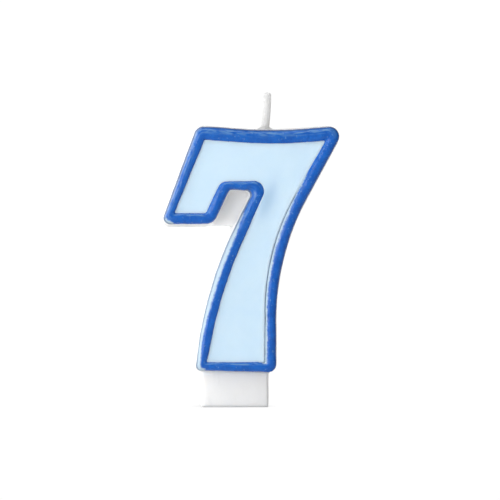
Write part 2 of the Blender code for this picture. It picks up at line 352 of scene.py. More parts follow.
def white_wax_material():
    """Cast white wax: cloudy and translucent, with smears; painted light lifts the web, and
    painted shade greys the foot towards the right and lines the outline's root.
    """
    material, tree, shader = new_material("white_wax")
    place = object_coordinates(tree)
    upright = object_coordinates(tree, (1.0, 1.0, 0.3))
    clouds = noise_value(tree, place, 6.0 * MM, detail=4.0)
    smears = noise_value(tree, upright, 2.4 * MM, detail=4.0, roughness=0.6, distortion=0.8)
    grain = noise_value(tree, place, 0.5 * MM, detail=4.0)
    colour = mix_colour(tree, spread(tree, clouds, 0.35, 0.65), *WHITE_WAX)
    smeared = spread(tree, smears, 0.52, 0.74, to_high=0.7)
    colour = mix_colour(tree, smeared, colour, WHITE_SMEAR)
    # Painted light on the web, painted shade on the foot and at the outline's root
    for mark, tint in (("web_painted_light", WEB_PAINTED_LIGHT), ("foot", FOOT_SHADE_GREY), ("root_shade", ROOT_SHADE_LILAC)):
        colour = mix_colour(tree, attribute_value(tree, mark), colour, tint)
    tree.links.new(colour, shader.inputs["Base Color"])
    gloss = spread(tree, smears, 0.4, 0.7, to_low=0.38, to_high=0.52)
    tree.links.new(gloss, shader.inputs["Roughness"])
    shader.inputs["Subsurface Weight"].default_value = 0.8
    shader.inputs["Subsurface Radius"].default_value = (1.0, 0.95, 0.88)
    shader.inputs["Subsurface Scale"].default_value = 2.8 * MM
    shader.inputs["IOR"].default_value = WAX_IOR
    shader.inputs["Specular IOR Level"].default_value = 0.4
    relief = bump_on(tree, clouds, 0.08 * MM, 0.4)
    relief = bump_on(tree, smears, 0.09 * MM, 0.5, relief)
    relief = bump_on(tree, grain, 0.02 * MM, 0.5, relief)
    tree.links.new(relief, shader.inputs["Normal"])
    return material


PALE_BLUE = ((0.63, 0.80, 1.0), (0.60, 0.775, 0.985))
PALE_BLUE_FLECK = (0.55, 0.75, 0.96)
# Painted shade beside the wax heaped at the notch corner
NOTCH_SHADE_BLUE = (0.38, 0.57, 0.74)
NOTCH_SHADE_STRENGTH = 0.6


def pale_wax_material():
    """Poured pale blue wax: smooth, with faint clouding and painted shade beside the wax heaped
    at the notch corner.
    """
    material, tree, shader = new_material("pale_blue_wax")
    place = object_coordinates(tree)
    clouds = noise_value(tree, place, 7.0 * MM, roughness=0.5, distortion=0.4)
    flecks = noise_value(tree, place, 1.3 * MM, detail=4.0, roughness=0.6)
    colour = mix_colour(tree, spread(tree, clouds, 0.35, 0.68), *PALE_BLUE)
    flecked = spread(tree, flecks, 0.55, 0.75, to_high=0.25)
    colour = mix_colour(tree, flecked, colour, PALE_BLUE_FLECK)
    # Painted shade by the notch corner
    notch_shade = spread(tree, attribute_value(tree, "notch_shade"), 0.0, 1.0, to_high=NOTCH_SHADE_STRENGTH)
    colour = mix_colour(tree, notch_shade, colour, NOTCH_SHADE_BLUE)
    tree.links.new(colour, shader.inputs["Base Color"])
    gloss = spread(tree, flecks, 0.35, 0.7, to_low=0.28, to_high=0.42)
    tree.links.new(gloss, shader.inputs["Roughness"])
    shader.inputs["Subsurface Weight"].default_value = 0.6
    shader.inputs["Subsurface Radius"].default_value = (0.8, 0.9, 1.0)
    shader.inputs["Subsurface Scale"].default_value = 1.6 * MM
    shader.inputs["IOR"].default_value = WAX_IOR
    relief = bump_on(tree, clouds, 0.10 * MM, 0.4)
    relief = bump_on(tree, flecks, 0.02 * MM, 0.5, relief)
    tree.links.new(relief, shader.inputs["Normal"])
    return material


BLUE_WAX = ((0.001, 0.082, 0.41), (0.004, 0.122, 0.52))
BLUE_STREAK = (0.012, 0.165, 0.60)
BLUE_MOTTLE = (0.001, 0.055, 0.30)
# Painted highlight: pale streaks and glint specks
GLINT_BLUE = (0.11, 0.27, 0.52)
# Thin pale wax, also a painted highlight on the left-facing flanks
BARE_HIGHLIGHT_BLUE = (0.40, 0.52, 0.62)
# Painted shade along the edges
EDGE_SHADE_BLUE = (0.09, 0.13, 0.23)


def blue_wax_material():
    """Glossy blue wax, thin and pale at its ragged outer edge, where a painted highlight also
    lies on the left-facing flanks; painted glints on the shoulders and painted shade along the
    edges.
    """
    material, tree, shader = new_material("blue_wax")
    place = object_coordinates(tree)
    patches = noise_value(tree, place, 2.2 * MM, detail=4.0, roughness=0.6)
    streaks = noise_value(tree, place, 0.55 * MM, detail=4.0, roughness=0.6)
    mottle = noise_value(tree, place, 0.8 * MM, roughness=0.6)
    specks = noise_value(tree, place, 0.9 * MM, detail=2.0, roughness=0.5)
    colour = mix_colour(tree, spread(tree, patches, 0.32, 0.68), *BLUE_WAX)
    streaked = spread(tree, streaks, 0.56, 0.76, to_high=0.45)
    colour = mix_colour(tree, streaked, colour, BLUE_STREAK)
    mottled = spread(tree, mottle, 0.55, 0.75, to_high=0.5)
    colour = mix_colour(tree, mottled, colour, BLUE_MOTTLE)
    # Painted highlights, thin pale wax with a painted highlight, and painted shade
    for mark, tint in (("painted_glint", GLINT_BLUE), ("bare_and_highlight", BARE_HIGHLIGHT_BLUE), ("edge_shade", EDGE_SHADE_BLUE)):
        colour = mix_colour(tree, attribute_value(tree, mark), colour, tint)
    tree.links.new(colour, shader.inputs["Base Color"])
    gloss = spread(tree, patches, 0.35, 0.65, to_low=0.12, to_high=0.24)
    tree.links.new(gloss, shader.inputs["Roughness"])
    shader.inputs["IOR"].default_value = 1.45
    shader.inputs["Specular IOR Level"].default_value = 0.36
    shader.inputs["Coat Weight"].default_value = 0.06
    shader.inputs["Coat Roughness"].default_value = 0.08
    relief = bump_on(tree, patches, 0.10 * MM, 0.5)
    relief = bump_on(tree, streaks, 0.07 * MM, 0.7, relief)
    relief = bump_on(tree, spread(tree, specks, 0.66, 0.76), 0.05 * MM, 0.8, relief)
    tree.links.new(relief, shader.inputs["Normal"])
    tree.links.new(relief, shader.inputs["Coat Normal"])
    return material


WICK_WAX = ((0.885, 0.885, 0.883), (0.925, 0.925, 0.923))
WICK_TRANSLUCENCE = 0.55
SEAL_TRANSLUCENCE = 0.4


def wick_wax_material(name, translucence):
    """Thin wax, slightly grey, that lets through a share of the light behind it."""
    material, tree, shader = new_material(name)
    upright = object_coordinates(tree, (1.0, 1.0, 0.25))
    streaks = noise_value(tree, upright, 0.4 * MM, detail=4.0)
    grain = noise_value(tree, object_coordinates(tree), 0.3 * MM)
    colour = mix_colour(tree, spread(tree, streaks, 0.38, 0.66), *WICK_WAX)
    tree.links.new(colour, shader.inputs["Base Color"])
    gloss = spread(tree, streaks, 0.35, 0.65, to_low=0.45, to_high=0.6)
    tree.links.new(gloss, shader.inputs["Roughness"])
    shader.inputs["Specular IOR Level"].default_value = 0.2
    shader.inputs["Subsurface Weight"].default_value = 0.7
    shader.inputs["Subsurface Radius"].default_value = (1.0, 1.0, 0.97)
    shader.inputs["Subsurface Scale"].default_value = 2.0 * MM
    relief = bump_on(tree, grain, 0.02 * MM, 0.4)
    tree.links.new(relief, shader.inputs["Normal"])
    glow = add_node(tree, "ShaderNodeBsdfTranslucent", {"Color": colour, "Normal": relief})
    both = add_node(tree, "ShaderNodeMixShader", {"Fac": translucence})
    tree.links.new(shader.outputs["BSDF"], both.inputs[1])
    tree.links.new(glow.outputs["BSDF"], both.inputs[2])
    output = tree.nodes["Material Output"]
    tree.links.new(both.outputs["Shader"], output.inputs["Surface"])
    return material


COTTON = ((0.82, 0.81, 0.78), (0.96, 0.955, 0.94))


def cotton_material():
    """Undyed cotton yarn with fine fibres along it."""
    material, tree, shader = new_material("cotton")
    upright = object_coordinates(tree, (1.0, 1.0, 0.2))
    fibres = noise_value(tree, upright, 0.06 * MM, detail=4.0, roughness=0.7)
    colour = mix_colour(tree, spread(tree, fibres, 0.3, 0.7), *COTTON)
    tree.links.new(colour, shader.inputs["Base Color"])
    shader.inputs["Roughness"].default_value = 0.9
    shader.inputs["Sheen Weight"].default_value = 0.3
    tree.links.new(bump_on(tree, fibres, 0.02 * MM, 0.8), shader.inputs["Normal"])
    return material


# ---------------------------------------------------------------- pieces

# The ridge's section: where its two feet stand, and how full or round its shoulders are
BEAD_FOOT_OUTER = BEAD_ROOT_Y + 0.2 * MM
BEAD_FOOT_INNER = PANEL_FRONT_Y + 0.25 * MM
BEAD_ROOT_SHARE = 0.12
BEAD_LAP = 0.05 * MM
BEAD_CREVICE = 0.17 * MM
BEAD_TOP_POINTS = 34
BEAD_FULL_OUTER = 2.7
BEAD_FULL_INNER = 3.0
BEAD_ROUND = 2.05
TOP_ROUNDING = 0.7
CREST_SHARE = 0.46
CREST_SHIFT = 0.06
CREST_SET_BACK = 0.05 * MM
BEAD_SINK = 0.01 * MM

# Waver of the two edges, with a long and a short wave
OUTER_WAVER = 0.05 * MM
INNER_WAVER = 0.07 * MM
OUTER_SEED = 1.0
INNER_SEED = 3.0
WAVER_LONG = 5.0 * MM
WAVER_SHORT = 1.6 * MM
WAVER_SHORT_SHARE = 0.4

# Unevenness of the ridge, as height, wavelength, seed and maybe octaves
BEAD_SWELL = ((0.05 * MM, 6.0 * MM, 5.0),)
BEAD_RIPPLES = ((0.045 * MM, 2.8 * MM, 7.0), (0.02 * MM, 1.0 * MM, 8.0))
RAGGED_EDGE = ((0.55, 0.45 * MM, 9.0, 3), (0.55, 1.3 * MM, 14.0), (0.7, 4.1 * MM, 10.0))

# Small ridges where one stretch of wax laps over the last
LAPS = 19
LAP_HEIGHT = 0.09 * MM
LAP_HEIGHT_SHARES = (0.3, 1.0)
LAP_WIDTH = 0.11 * MM
LAP_SLANT = 0.7
LAP_SCATTER = (0.1, 0.9)
LAP_SEED = 17

# Parts of the numeral where the line's marks change
BROAD_REACH = 12
FACING_GAIN = 1.6
NOTCH_Z = 50.0 * MM
ARM_X = -14.0 * MM
ARM_SLOPE = 0.37
RIGHT_LINE_X = 5.0 * MM
BARE_FROM_Z = 60.0 * MM
BARE_FADE = 12.0 * MM

# Thin, pale wax, also a painted highlight where the light from the left catches the flanks: how
# far it reaches in from each edge, and how it ends
BARE_HIGHLIGHT_STEM = 1.25 * MM
BARE_HIGHLIGHT_ARM = 0.62 * MM
BARE_HIGHLIGHT_ARM_COVER = 0.45
BARE_HIGHLIGHT_NOTCH = 0.2 * MM
BARE_HIGHLIGHT_INNER = 0.6 * MM
BARE_HIGHLIGHT_BLEND = 0.42 * MM
BARE_HIGHLIGHT_RAGGED = 0.62
BARE_HIGHLIGHT_LEAST_LEFT = 0.3
BARE_HIGHLIGHT_LEAST_CREVICE = 0.1
NEVER_BARE_HIGHLIGHT = 9.0

# Painted shade at the line's two edges
EDGE_SHADE_TOP = 0.75
EDGE_SHADE_STEM = 0.35
EDGE_SHADE_FROM = 0.25 * MM
EDGE_SHADE_FADE = 0.4 * MM
EDGE_SHADE_OUTER = 0.52 * MM
EDGE_SHADE_INNER = 0.25 * MM
EDGE_SHADE_CREVICE = 0.35
EDGE_SHADE_GAIN = 2.0
EDGE_SHADE_RAGGED = 0.2

# Painted highlights: pale streaks on the shoulders and the low ledges, and painted glint specks
# everywhere
GLINT_MIDDLE = 1.1 * MM
GLINT_REACH = 0.7 * MM
GLINT_STRETCH = 0.13
GLINT_SIZE = 0.36 * MM
GLINT_SEED = 13.0
GLINT_OCTAVES = 3
GLINT_COVER = 0.36
GLINT_GAIN = 1.3
GLINT_MOST = 0.9
GLINT_LEFT = 0.6
GLINT_STEM = 0.7
LEDGE_GLINT_MIDDLE = 0.55 * MM
LEDGE_GLINT_REACH = 0.3 * MM
GLINT_SPECK_SIZE = 0.6 * MM
GLINT_SPECK_SEED = 15.0
GLINT_SPECK_FROM = 0.64
GLINT_SPECK_GAIN = 5.0
GLINT_SPECK_MOST = 0.65


def outward(rows, reach=3):
    """Outward unit normals of a clockwise outline."""
    tangent = np.roll(rows, -reach, axis=0) - np.roll(rows, reach, axis=0)
    tangent /= np.linalg.norm(tangent, axis=1)[:, None]
    return np.column_stack((-tangent[:, 1], tangent[:, 0]))


def on_face(rows, y=0.0):
    """Rows of x, z as rows of x, y, z."""
    return np.column_stack((rows[:, 0], np.full(len(rows), y), rows[:, 1]))


def wavered(rows, seed, amount):
    """The outline with a slightly uneven course, as a brush or a pour leaves it."""
    places = on_face(rows)
    short = (WAVER_SHORT_SHARE, WAVER_SHORT, seed + 1.0)
    shift = waves(places, (1.0, WAVER_LONG, seed), short)
    return rows + outward(rows) * (shift * amount)[:, None]


def sides_of(rows):
    """How much each point of an outline faces left, and how much it faces right."""
    facing = np.clip(outward(rows, BROAD_REACH)[:, 0] * FACING_GAIN, -1.0, 1.0)
    return np.clip(-facing, 0.0, 1.0), np.clip(facing, 0.0, 1.0)


def right_line(rows):
    """One along the right-hand stroke of the numeral below the top bar, fading out upwards."""
    fade = np.clip((BARE_FROM_Z - rows[:, 1]) / BARE_FADE, 0.0, 1.0)
    return fade * (rows[:, 0] > RIGHT_LINE_X)


def blend(first, second, amount):
    """Outline part of the way from one to another, point by point."""
    return first + (second - first) * amount[:, None]


def along(rows):
    """Distance of each point of an outline from its first point, along the outline."""
    steps = np.hypot(*(np.roll(rows, -1, axis=0) - rows).T)
    return np.concatenate(([0.0], np.cumsum(steps)[:-1]))


def laps_on(middle, width, shares):
    """Height of the small slanted ridges where one stretch of wax laps over the last."""
    course = along(middle)
    rng = np.random.default_rng(LAP_SEED)
    places = (np.arange(LAPS) + rng.uniform(*LAP_SCATTER, LAPS)) * course[-1] / LAPS
    slants = rng.uniform(-LAP_SLANT, LAP_SLANT, LAPS)
    heights = rng.uniform(*LAP_HEIGHT_SHARES, LAPS) * LAP_HEIGHT
    rows = []
    for share in shares:
        height = np.zeros(len(middle))
        for place, slant, lift in zip(places, slants, heights):
            away = course - place - slant * (share - 0.5) * width
            height += lift * np.exp(-((away / LAP_WIDTH) ** 2))
        rows.append(height)
    return np.concatenate(rows)


def bead_line():
    """Both edges of the line, its middle and width, and how each point of it lies."""
    outer = rounded_outline(OUTER_CORNERS)
    left, right = sides_of(outer)
    crevice = right_line(outer) * right
    lapped = rounded_outline(INNER_CORNERS, -BEAD_LAP)
    apart = rounded_outline(INNER_CORNERS, BEAD_CREVICE)
    inner = wavered(blend(lapped, apart, crevice), INNER_SEED, INNER_WAVER)
    outer = wavered(outer, OUTER_SEED, OUTER_WAVER)
    upward = outward(outer, BROAD_REACH)[:, 1]
    stem = np.clip((NOTCH_Z - outer[:, 1]) / BARE_FADE * 2.0, 0.0, 1.0)
    arm_edge = ARM_X + (outer[:, 1] - NOTCH_Z) * ARM_SLOPE
    return SimpleNamespace(
        outer=outer,
        inner=inner,
        middle=(outer + inner) / 2.0,
        width=np.hypot(*(outer - inner).T),
        left=left,
        right=right,
        crevice=crevice,
        upward=np.clip(upward, 0.0, 1.0),
        downward=np.clip(-upward, 0.0, 1.0),
        stem=stem,
        arm=(outer[:, 0] < arm_edge) & (stem < 0.5),
    )


def bead_layers(line):
    """Each ring of the ridge as its share of the way across and its depth, outer foot first."""
    ring = len(line.outer)
    soft = np.maximum(line.left, TOP_ROUNDING * line.upward)
    outer_power = 2.0 / (BEAD_FULL_OUTER + (BEAD_ROUND - BEAD_FULL_OUTER) * soft)
    inner_power = 2.0 / (BEAD_FULL_INNER + (BEAD_ROUND - BEAD_FULL_INNER) * line.right)
    crest = CREST_SHARE + CREST_SHIFT * line.left
    crest_y = CREST_Y + CREST_SET_BACK + waves(on_face(line.middle), *BEAD_SWELL)
    layers = [(np.full(ring, BEAD_ROOT_SHARE), np.full(ring, BEAD_FOOT_OUTER))]
    for step in range(BEAD_TOP_POINTS + 1):
        angle = math.pi * step / BEAD_TOP_POINTS
        across = max(abs(math.cos(angle)), 1e-6)
        height = max(math.sin(angle), 1e-6)
        if angle <= math.pi / 2.0:
            share = crest * (1.0 - across**outer_power)
            rise = height**outer_power
            foot = BEAD_FOOT_OUTER
        else:
            share = crest + (1.0 - crest) * across**inner_power
            rise = height**inner_power
            foot = BEAD_FOOT_INNER
        layers.append((share, foot + (crest_y - foot) * rise))
    layers.append((np.full(ring, 1.0 - BEAD_ROOT_SHARE), np.full(ring, BEAD_FOOT_OUTER)))
    return layers


def line_at_vertices(line, shares):
    """The line's values at each vertex of the ridge, and the distances to its two edges."""
    at = SimpleNamespace()
    for name in ("left", "crevice", "upward", "downward", "stem", "arm"):
        setattr(at, name, np.tile(getattr(line, name), len(shares)))
    at.edge = np.concatenate([share * line.width for share in shares])
    at.far = np.concatenate([(1.0 - share) * line.width for share in shares])
    at.course = np.tile(along(line.middle), len(shares))
    return at


def bare_and_highlight_cover(at, ragged):
    """Where the wax is thin and pale, and painted as a highlight on the flanks that face the
    light: along the left edges and in the right-hand crevice.
    """
    reach = np.where(at.arm, BARE_HIGHLIGHT_ARM, BARE_HIGHLIGHT_NOTCH + (BARE_HIGHLIGHT_STEM - BARE_HIGHLIGHT_NOTCH) * at.stem)
    from_outer = (at.edge - at.left * reach) / BARE_HIGHLIGHT_BLEND
    from_outer += NEVER_BARE_HIGHLIGHT * (at.left < BARE_HIGHLIGHT_LEAST_LEFT)
    from_inner = (at.far - at.crevice * BARE_HIGHLIGHT_INNER) / BARE_HIGHLIGHT_BLEND
    from_inner += NEVER_BARE_HIGHLIGHT * (at.crevice < BARE_HIGHLIGHT_LEAST_CREVICE)
    bare_and_highlight = np.clip(0.5 - np.minimum(from_outer, from_inner) - ragged * BARE_HIGHLIGHT_RAGGED, 0.0, 1.0)
    return bare_and_highlight * np.where(at.arm, BARE_HIGHLIGHT_ARM_COVER, 1.0)


def painted_edge_shade(at, ragged, points):
    """Painted shade along the top and left edges and in the crevice, fading to the root."""
    marked = np.maximum(at.left * (1.0 - EDGE_SHADE_STEM * at.stem), at.upward * EDGE_SHADE_TOP)
    edge_shade = np.clip(1.0 - at.edge / EDGE_SHADE_OUTER, 0.0, 1.0) * marked
    edge_shade += EDGE_SHADE_CREVICE * np.clip(1.0 - at.far / EDGE_SHADE_INNER, 0.0, 1.0) * at.crevice
    root = np.clip((BEAD_ROOT_Y - points[:, 1] - EDGE_SHADE_FROM) / EDGE_SHADE_FADE, 0.0, 1.0)
    shade = np.clip(edge_shade * EDGE_SHADE_GAIN + ragged * EDGE_SHADE_RAGGED, 0.0, 1.0)
    return shade * (edge_shade > 0.0) * root


def painted_glint_cover(at, points):
    """Painted highlights: pale streaks on the upper and left shoulders and the low ledges, and
    single painted glint specks.
    """
    shoulder = np.exp(-(((at.edge - GLINT_MIDDLE) / GLINT_REACH) ** 2))
    shoulder *= np.maximum(at.upward, GLINT_LEFT * at.left * (1.0 - GLINT_STEM * at.stem))
    ledge = np.exp(-(((at.far - LEDGE_GLINT_MIDDLE) / LEDGE_GLINT_REACH) ** 2)) * at.downward
    places = np.column_stack((at.course * GLINT_STRETCH, at.edge, 0.0 * at.edge))
    fine = field(places, GLINT_SIZE, GLINT_SEED, GLINT_OCTAVES)
    flecks = np.clip(GLINT_COVER + fine * GLINT_GAIN, 0.0, GLINT_MOST)
    flecks *= np.maximum(shoulder, ledge)
    specks = (field(points, GLINT_SPECK_SIZE, GLINT_SPECK_SEED) - GLINT_SPECK_FROM) * GLINT_SPECK_GAIN
    return np.maximum(flecks, np.clip(specks, 0.0, GLINT_SPECK_MOST))


def build_bead(material):
    """The raised outline: a rippled ridge lofted between the two edges of the line."""
    line = bead_line()
    layers = bead_layers(line)
    ring = len(line.outer)
    vertices = []
    for share, depth in layers:
        rows = blend(line.outer, line.inner, share)
        vertices.append(np.column_stack((rows[:, 0], depth, rows[:, 1])))
    faces = []
    for index in range(len(vertices)):
        after = (index + 1) % len(vertices)
        faces.extend(quads_between(index * ring, after * ring, ring))
    obj = new_object("outline_bead_wax", np.vstack(vertices), faces, "blue_wax", "outline_bead")
    points = read_points(obj)
    shares = [share for share, _ in layers]
    laps = laps_on(line.middle, line.width, shares)
    push(obj, waves(points, *BEAD_RIPPLES) + laps - BEAD_SINK)
    at = line_at_vertices(line, shares)
    ragged = waves(points, *RAGGED_EDGE)
    # Painted light on the line: thin pale wax with a painted highlight, painted edge shade and
    # painted glints
    store(obj, "bare_and_highlight", bare_and_highlight_cover(at, ragged))
    store(obj, "edge_shade", painted_edge_shade(at, ragged, points))
    store(obj, "painted_glint", painted_glint_cover(at, points))
    obj.data.materials.append(material)
    return obj


PANEL_EDGE = 0.3 * MM
PANEL_EDGE_STEPS = 6
PANEL_DROP = 0.16 * MM
PANEL_BACK_INSET = 0.1 * MM
PANEL_GAP = 0.10 * MM
PANEL_TUCK = 0.16 * MM
PANEL_SPACING = 0.42 * MM
PANEL_SKIN = 0.3 * MM
PANEL_SINK = 0.03 * MM
PANEL_WAVES = ((0.035 * MM, 9.0 * MM, 11.0), (0.01 * MM, 3.0 * MM, 12.0))
MENISCUS_REACH = 0.9 * MM
MENISCUS_RISE = 0.08 * MM
FILL_INSIDE = 1
FILL_TOLERANCE = 1e-7

# Wax heaped against the corner of the notch, with painted shade over it and to its right
HEAP_X = 7.3 * MM
HEAP_Z = 51.8 * MM
HEAP_STRETCH = 2.3
HEAP_REACH = 2.0 * MM
HEAP_HEIGHT = 0.38 * MM
HEAP_SLOPE = 0.28
NOTCH_SHADE_ASIDE = 0.5 * MM


def panel_rings():
    """Outlines of the panel as x, y, z rows, from its back to the front's edge."""
    levels = [(0.0, PANEL_BACK_Y + PANEL_BACK_INSET), (0.0, PANEL_FRONT_Y + PANEL_DROP)]
    for step in range(1, PANEL_EDGE_STEPS + 1):
        angle = math.radians(90.0) * step / PANEL_EDGE_STEPS
        inset = PANEL_EDGE * (1.0 - math.cos(angle))
        drop = PANEL_DROP * (1.0 - math.sin(angle))
        levels.append((inset, PANEL_FRONT_Y + drop))
    outer = rounded_outline(OUTER_CORNERS)
    crevice = right_line(outer) * sides_of(outer)[1]
    rings = []
    for inset, y in levels:
        under = rounded_outline(INNER_CORNERS, PANEL_TUCK - inset)
        apart = rounded_outline(INNER_CORNERS, PANEL_GAP - inset)
        rings.append(on_face(blend(under, apart, crevice), y))
    return rings


def panel_front(rim, base):
    """Points and triangles that fill the front; base is the index of the rim's first vertex."""
    ring = len(rim)
    places = [Vector(row) for row in rim] + grid_inside(rim, PANEL_SPACING)
    flat_points, _, flat_faces, origins, _, _ = geometry.delaunay_2d_cdt(
        places, [], [list(range(ring))], FILL_INSIDE, FILL_TOLERANCE
    )
    extra = []
    index_of = []
    for point, origin in zip(flat_points, origins):
        if origin and origin[0] < ring:
            index_of.append(base + origin[0])
        else:
            index_of.append(base + ring + len(extra))
            extra.append((point.x, PANEL_FRONT_Y, point.y))
    faces = [tuple(index_of[corner] for corner in face) for face in flat_faces]
    return np.array(extra), faces


def build_panel(material):
    """The poured panel: a soft-edged layer with a gently uneven face."""
    rings = panel_rings()
    ring = len(rings[0])
    faces = [tuple(range(ring))]
    for index in range(len(rings) - 1):
        faces.extend(quads_between(index * ring, (index + 1) * ring, ring))
    rim = rings[-1][:, (0, 2)]
    extra, front_faces = panel_front(rim, ring * (len(rings) - 1))
    faces.extend(front_faces)
    vertices = np.vstack(rings + [extra])
    obj = new_object("face_panel_wax", vertices, faces, "pale_blue_wax", "face_panel")
    points = read_points(obj)
    front = np.clip((PANEL_FRONT_Y + PANEL_SKIN - points[:, 1]) / PANEL_SKIN, 0.0, 1.0)
    down = points[:, 2] - HEAP_Z
    aside = points[:, 0] - HEAP_X - HEAP_SLOPE * down
    heap = HEAP_HEIGHT * np.exp(-((np.hypot(aside, down / HEAP_STRETCH) / HEAP_REACH) ** 2))
    # The wax climbs a little where it meets the outline
    rim_gap = np.array([np.hypot(rim[:, 0] - x, rim[:, 1] - z).min() for x, _, z in points])
    meniscus = MENISCUS_RISE * np.exp(-rim_gap / MENISCUS_REACH)
    points[:, 1] += (waves(points, *PANEL_WAVES) + PANEL_SINK - heap - meniscus) * front
    write_points(obj, points)
    # Painted shade, set a little to the right of the heap
    away = np.hypot(aside - NOTCH_SHADE_ASIDE, down / HEAP_STRETCH)
    store(obj, "notch_shade", np.exp(-((away / HEAP_REACH) ** 2)))
    obj.data.materials.append(material)
    return obj


def grid_inside(rim, spacing):
    """Staggered points inside an outline, none close to it."""
    low = rim.min(axis=0)
    high = rim.max(axis=0)
    row_step = spacing * math.sqrt(3.0) / 2.0
    found = []
    for row in range(int((high[1] - low[1]) / row_step) + 1):
        z = low[1] + row * row_step
        shift = spacing / 2.0 if row % 2 else 0.0
        for column in range(int((high[0] - low[0]) / spacing) + 1):
            x = low[0] + column * spacing + shift
            near = np.hypot(rim[:, 0] - x, rim[:, 1] - z).min()
            if near > spacing / 2.0 and point_inside(x, z, rim):
                found.append(Vector((x, z)))
    return found


def point_inside(x, z, rows):
    """Even-odd test of a point against an outline."""
    ax, az = rows[:, 0], rows[:, 1]
    bx, bz = np.roll(ax, -1), np.roll(az, -1)
    crosses = (az > z) != (bz > z)
    with np.errstate(divide="ignore", invalid="ignore"):
        at = (bx - ax) * (z - az) / (bz - az) + ax
    return bool(np.count_nonzero(crosses & (x < at)) % 2)


BODY_WELD = 0.002 * MM
BODY_VOXEL = 0.25 * MM
BODY_SMOOTHING = 3
BODY_SMOOTH_SHARE = 0.5
BODY_WAVES = ((0.05 * MM, 7.0 * MM, 21.0), (0.012 * MM, 1.8 * MM, 22.0))
UNDERSIDE_REACH = 0.45 * MM

# The foot, greyed with painted shade that grows towards the right, away from the light
FOOT_TOP_Z = 10.0 * MM
FOOT_FADE = 0.8 * MM
FOOT_HALF_WIDTH = 8.5 * MM
FOOT_SHADE = 0.5
FOOT_SHADE_RISE = 0.4

# The front of the web in the notch, painted lighter and bluish as painted light in that recess
WEB_FROM_Y = -1.6 * MM
WEB_TO_Y = 0.2 * MM
WEB_FADE = 0.5 * MM
WEB_FACING = -0.6

# Painted shade on the casting at the outline's root: a ragged lilac-grey line
ROOT_SHADE_Y = BEAD_ROOT_Y + 0.15 * MM
ROOT_SHADE_REACH = 0.3 * MM
ROOT_SHADE_COVER = 0.5
ROOT_SHADE_GAIN = 1.2
ROOT_SHADE_RAGGED = ((0.5, 1.2 * MM, 23.0, 3),)


def cast_skin():
    """The CAD solid of the casting as one even mesh with softened edges."""
    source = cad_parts["wax_body"]
    mesh = source.data.copy()
    mesh.transform(source.matrix_world)
    bm = bmesh.new()
    bm.from_mesh(mesh)
    bmesh.ops.remove_doubles(bm, verts=bm.verts, dist=BODY_WELD)
    bm.to_mesh(mesh)
    bm.free()
    rough = bpy.data.objects.new("wax_body_rough", mesh)
    bpy.context.scene.collection.objects.link(rough)
    remesh = rough.modifiers.new("skin", "REMESH")
    remesh.mode = "VOXEL"
    remesh.voxel_size = BODY_VOXEL
    smooth = rough.modifiers.new("soft", "SMOOTH")
    smooth.factor = BODY_SMOOTH_SHARE
    smooth.iterations = BODY_SMOOTHING
    bpy.context.view_layer.update()
    evaluated = rough.evaluated_get(bpy.context.evaluated_depsgraph_get())
    solid = bpy.data.meshes.new_from_object(evaluated)
    bpy.data.objects.remove(rough)
    solid.name = "wax_body_cast"
    solid.materials.clear()
    solid.shade_smooth()
    return solid


def build_body(material):
    """The casting: the CAD solid with soft wax edges and an uneven skin."""
    obj = bpy.data.objects.new("wax_body_cast", cast_skin())
    bpy.context.scene.collection.objects.link(obj)
    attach(obj, "root")
    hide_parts("wax_body")
    points = read_points(obj)
    push(obj, waves(points, *BODY_WAVES))
    # The underside stays flat right out to its edge
    points = read_points(obj)
    points[:, 2] = np.where(points[:, 2] < UNDERSIDE_REACH, 0.0, points[:, 2])
    write_points(obj, points)
    above_foot = points[:, 2] > FOOT_TOP_Z
    # Painted shade: a ragged line on the casting just behind the outline's root
    line = 1.0 - np.abs(points[:, 1] - ROOT_SHADE_Y) / ROOT_SHADE_REACH
    ragged = waves(points, *ROOT_SHADE_RAGGED)
    root_shade = np.clip(line * ROOT_SHADE_GAIN + ragged, 0.0, 1.0) * (line > 0.0)
    store(obj, "root_shade", root_shade * above_foot * ROOT_SHADE_COVER)
    # Painted light: the front of the web is made lighter
    recessed = np.clip((points[:, 1] - WEB_FROM_Y) / WEB_FADE, 0.0, 1.0)
    recessed *= points[:, 1] < WEB_TO_Y
    recessed *= read_normals(obj)[:, 1] < WEB_FACING
    store(obj, "web_painted_light", recessed * above_foot)
    # Painted shade: the foot greys, more towards the right
    below = np.clip((FOOT_TOP_Z - points[:, 2]) / FOOT_FADE, 0.0, 1.0)
    rightward = np.clip(points[:, 0] / FOOT_HALF_WIDTH, -1.0, 1.0)
    store(obj, "foot", below * (FOOT_SHADE + FOOT_SHADE_RISE * rightward))
    obj.data.materials.append(material)
    return obj


WICK_RADIUS = (COAT_HIGH[1] - COAT_LOW[1]) / 2.0
WICK_X = COAT_LOW[0] + WICK_RADIUS
WICK_Y = (COAT_HIGH[1] + COAT_LOW[1]) / 2.0
WICK_LEAN = COAT_HIGH[0] - COAT_LOW[0] - 2.0 * WICK_RADIUS
WICK_EXIT_Z = SEAL_LOW[2]
WICK_OVERSHOOT = 0.3 * MM
WICK_TIP_Z = COAT_HIGH[2] + WICK_OVERSHOOT
WICK_DOME = 0.7 * MM
WICK_DOME_STEPS = 8
WICK_DOME_ANGLE = math.radians(86.0)
WICK_SIDES = 32
WICK_WAVES = ((0.015 * MM, 1.1 * MM, 31.0),)

# The wax is modelled finely from a little way inside the bore, and coarsely below that
WICK_COARSE_TOP = WICK_EXIT_Z - 1.0 * MM
WICK_FINE_FROM = WICK_EXIT_Z - 0.85 * MM
WICK_FINE_STEP = 0.15 * MM
WICK_COARSE_COUNT = 60

# How much of the plait's shape shows through the wax
RELIEF_SHARE = 0.2
RELIEF_MIDDLE = 0.5 * MM
RELIEF_LIFT = 0.02 * MM

